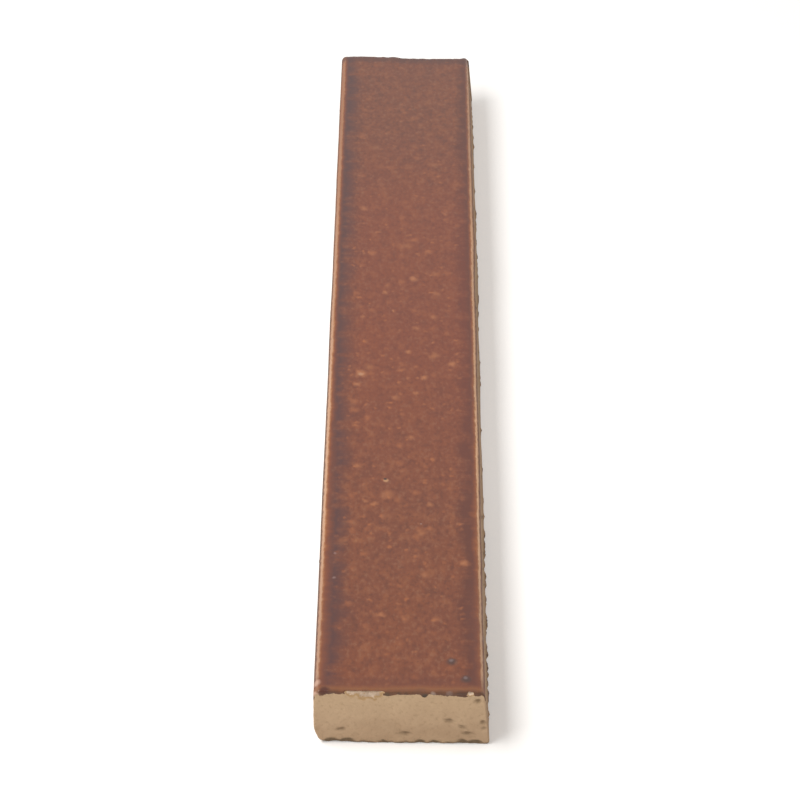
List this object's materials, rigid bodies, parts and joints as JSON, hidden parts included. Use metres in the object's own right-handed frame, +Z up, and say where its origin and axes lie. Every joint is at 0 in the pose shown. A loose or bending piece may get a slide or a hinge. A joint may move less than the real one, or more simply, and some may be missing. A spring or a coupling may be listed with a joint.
{
  "type": "glazed ceramic brick tile",
  "caption": "Long, narrow stoneware brick tile with a glossy brown glazed face, rolled glazed long edges and bare buff clay sides, ends and back; bonded to a wall in courses.",
  "frame": {"origin": "middle of the bedding face, under the middle of the tile", "axes": "+X across the face to the right, +Y along the tile away from the viewer, +Z up from the bedding face to the glazed face"},
  "size_m": [0.0413, 0.295, 0.016],
  "materials": {
    "glazed_stoneware": "glossy iron-brown glaze on the face and shoulders, bare matt buff clay elsewhere"
  },
  "bodies": {
    "root": {"glazed_tile": "glazed_stoneware"}
  },
  "joints": []
}
